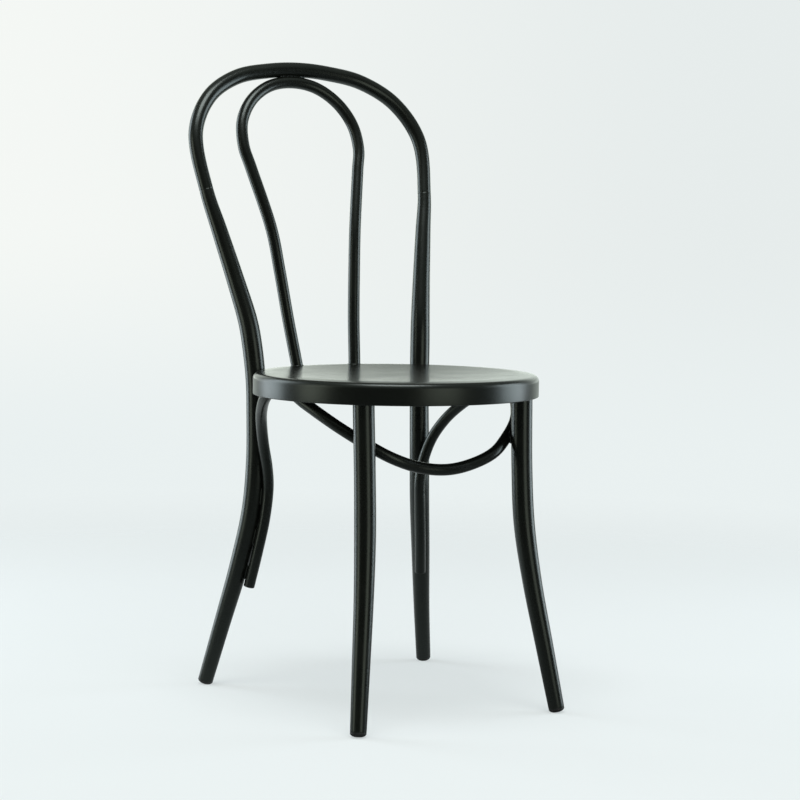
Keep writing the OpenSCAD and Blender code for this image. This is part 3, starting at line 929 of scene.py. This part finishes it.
def paper():
    """Floor paper that glows a little for what sees it, and fades out toward its edge."""
    mat = bpy.data.materials.new("floor_paper")
    mat.use_nodes = True
    tree = mat.node_tree
    tree.nodes.clear()
    coords = tree.nodes.new("ShaderNodeTexCoord").outputs["Object"]
    lit = tree.nodes.new("ShaderNodeBsdfDiffuse")
    fibre = noise(tree, coords, scale=300.0, detail=3.0)
    tree.links.new(blend_colour(tree, fibre, FIBRE_DARK, FIBRE_LIGHT), lit.inputs["Color"])
    glow = tree.nodes.new("ShaderNodeEmission")
    glow.inputs["Color"].default_value = (*PAPER, 1)
    camera_ray = is_camera(tree)
    lit_side = soft_step(tree, along(tree, coords, BACKDROP - 0.6 * IMAGE_RIGHT), -0.5, 0.8)
    strength = math_node(tree, "MAXIMUM", camera_ray, math_node(tree, "MULTIPLY", lit_side, 0.8))
    tree.links.new(strength, glow.inputs["Strength"])
    in_gloss = math_node(tree, "SUBTRACT", is_seen(tree), camera_ray)
    share = math_node(tree, "ADD", math_node(tree, "MULTIPLY", camera_ray, GLOW_SEEN),
                      math_node(tree, "MULTIPLY", in_gloss, GLOW_IN_GLOSS))
    sheet = mix_shader(tree, share, lit.outputs[0], glow.outputs[0])
    reach = tree.nodes.new("ShaderNodeVectorMath")
    reach.operation = "LENGTH"
    tree.links.new(coords, reach.inputs[0])
    fade = soft_step(tree, reach.outputs["Value"], 0.9, 2.4)
    clear = tree.nodes.new("ShaderNodeBsdfTransparent")
    out = tree.nodes.new("ShaderNodeOutputMaterial")
    tree.links.new(mix_shader(tree, fade, sheet, clear.outputs[0]), out.inputs["Surface"])
    return mat


def backdrop_colour(tree, way, height):
    """The paper's colour low down, and above it a wall with painted light: paler on the image's left,
    where more light falls, and darker on its right.
    """
    shade_toward_right = soft_step(tree, along(tree, way, IMAGE_RIGHT), -0.2, 0.16)
    wall = blend_colour(tree, shade_toward_right, WALL_LIT_LEFT, WALL_SHADED_RIGHT)
    return blend_colour(tree, soft_step(tree, height, 0.0, -0.11), wall, PAPER)


def gloss_glow(tree, way, height):
    """The room's brightness in reflections: the wall behind the chair, which is brightest along
    the floor's edge, a dim ceiling, and hardly anything behind the camera. Heights and widths
    are shares of a direction's length."""
    behind_chair = soft_step(tree, along(tree, way, BACKDROP), 0.62, 0.90)
    not_ceiling = soft_step(tree, height, 0.75, 0.3)
    across = math_node(tree, "ABSOLUTE", along(tree, way, IMAGE_RIGHT), 0.0)
    in_middle = soft_step(tree, across, 0.075, 0.0)
    sky = math_node(tree, "MULTIPLY", soft_step(tree, height, -0.005, 0.015), 2.0)
    darker = math_node(tree, "ADD", math_node(tree, "MULTIPLY", in_middle, 1.2), 1.3)
    above = math_node(tree, "MULTIPLY", soft_step(tree, height, 0.015, 0.08), darker)
    horizon = math_node(tree, "SUBTRACT", math_node(tree, "ADD", sky, 1.0), above)
    wall = math_node(tree, "MULTIPLY", math_node(tree, "MULTIPLY", behind_chair, not_ceiling), horizon)
    ceiling = math_node(tree, "MULTIPLY", soft_step(tree, height, 0.3, 0.75), 0.3)
    return math_node(tree, "MAXIMUM", wall, math_node(tree, "MAXIMUM", ceiling, 0.03))


def studio():
    """A pale backdrop behind the chair, and a dim room behind the camera."""
    world = bpy.data.worlds.new("studio")
    world.use_nodes = True
    tree = world.node_tree
    tree.nodes.clear()
    way = tree.nodes.new("ShaderNodeTexCoord").outputs["Generated"]
    height = along(tree, way, (0, 0, 1))
    camera_ray = is_camera(tree)
    other_ray = math_node(tree, "SUBTRACT", 1.0, camera_ray)
    colour = backdrop_colour(tree, way, height)
    colour = blend_colour(tree, other_ray, colour, GLOSS_CAST, blend="MULTIPLY")
    glow = math_node(tree, "MULTIPLY", gloss_glow(tree, way, height), other_ray)
    seen = tree.nodes.new("ShaderNodeBackground")
    tree.links.new(colour, seen.inputs["Color"])
    tree.links.new(math_node(tree, "ADD", camera_ray, glow), seen.inputs["Strength"])
    room = tree.nodes.new("ShaderNodeBackground")
    room.inputs["Color"].default_value = (1, 1, 1, 1)
    room.inputs["Strength"].default_value = ROOM_GLOW
    out = tree.nodes.new("ShaderNodeOutputWorld")
    both = mix_shader(tree, is_seen(tree), room.outputs[0], seen.outputs[0])
    tree.links.new(both, out.inputs["Surface"])
    return world


floor_mesh.materials.append(paper())
bpy.context.scene.world = studio()


def lamp(name, wide, high, glow, place, target):
    """A rectangular lamp that faces a target and isn't seen itself. glow is its radiance."""
    data = bpy.data.lights.new(name, "AREA")
    data.shape = "RECTANGLE"
    data.size = wide
    data.size_y = high
    data.energy = glow * math.pi * data.size * data.size_y
    obj = bpy.data.objects.new(name, data)
    bpy.context.collection.objects.link(obj)
    obj.location = place
    obj.rotation_euler = (target - place).to_track_quat("-Z", "Y").to_euler()
    obj.visible_camera = False
    return data


CAMERA_BEARING = math.degrees(math.atan2(EYE[1], EYE[0]))
SOFTBOX_AWAY = 2.2
WARM = (1.0, 1.0, 0.86)
COOL = (0.91, 1.0, 1.06)


def softbox(name, turn, half, low, high, glow, tint):
    """An upright lamp that faces the chair. turn is its bearing from the camera's, toward the
    image's right, half is half of the angle that it fills, and low and high are its edges."""
    bearing = math.radians(CAMERA_BEARING + turn)
    middle = (low + high) / 2
    place = Vector((SOFTBOX_AWAY * math.cos(bearing), SOFTBOX_AWAY * math.sin(bearing), middle))
    wide = 2 * SOFTBOX_AWAY * math.tan(math.radians(half))
    lamp(name, wide, high - low, glow, place, Vector((0, 0, place.z))).color = tint


softbox("front_box", turn=36, half=13, low=0.0, high=1.4, glow=1.3, tint=WARM)
softbox("left_wall", turn=-66, half=11, low=0.0, high=1.8, glow=1.8, tint=WARM)
softbox("left_box", turn=-113, half=15, low=0.0, high=2.1, glow=4.0, tint=COOL)
softbox("right_box", turn=103, half=15, low=0.0, high=1.7, glow=4.1, tint=COOL)

# the wide box overhead, which leans a little toward the camera's side
lamp("top_box", 1.2, 0.85, 8.0, Vector((0, 0, 2.6)) - 0.6 * BACKDROP, Vector((0, 0, 0.6)))

bpy.context.scene.view_settings.view_transform = "Standard"
